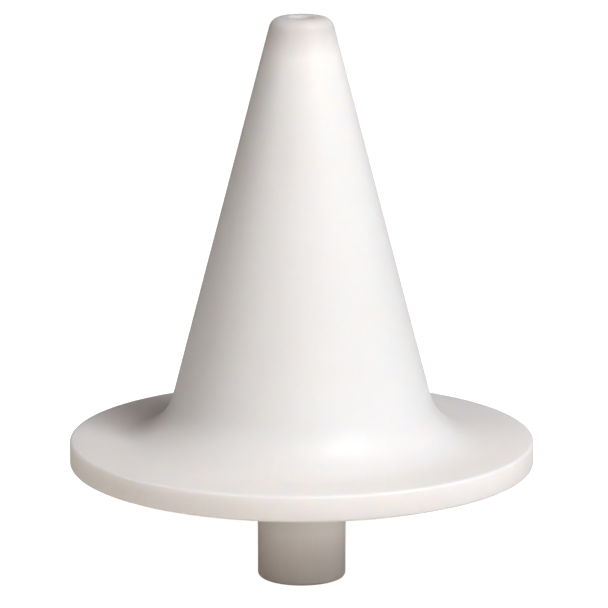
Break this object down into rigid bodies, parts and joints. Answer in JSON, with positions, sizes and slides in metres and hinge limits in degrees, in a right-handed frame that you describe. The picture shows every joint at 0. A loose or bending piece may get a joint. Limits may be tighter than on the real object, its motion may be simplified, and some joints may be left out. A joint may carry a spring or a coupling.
{
  "type": "pneumatic muffler",
  "caption": "Cone-shaped exhaust silencer with a wide round flange, a push-in inlet spigot, felt absorbers on a perforated core, and an outlet in the tip.",
  "frame": {"origin": "on the axis, in the plane of the flange's underside, where the inlet spigot begins", "axes": "+Z along the cone's axis towards the outlet in the tip, +X and +Y across it"},
  "size_m": [0.063, 0.063, 0.077],
  "materials": {
    "shell": "soft gloss, slightly translucent white moulding",
    "plate": "plain natural white moulding",
    "spigot": "greyish white natural plastic tube",
    "seal": "black moulded rubber",
    "spring_steel": "bright spring steel",
    "core": "satin drawn tube",
    "sleeve": "fine woven cloth",
    "felt": "dense pressed felt",
    "screen": "sintered bronze, fine grained"
  },
  "bodies": {
    "base": {"base_plate": "plate", "inlet_spigot": "spigot", "spigot_seal": "seal", "spigot_retainer": "spring_steel", "base_seal": "seal", "core_tube": "core", "core_sleeve": "sleeve", "core_cap": "plate", "absorber_lower": "felt", "absorber_upper": "felt"},
    "shell": {"cone_shell": "shell", "outlet_screen": "screen", "screen_ring": "spring_steel"}
  },
  "joints": [
    {"name": "shell_lift", "type": "slide", "parent": "base", "child": "shell", "axis": [0, 0, 1], "range_m": [0, 0.048]}
  ]
}
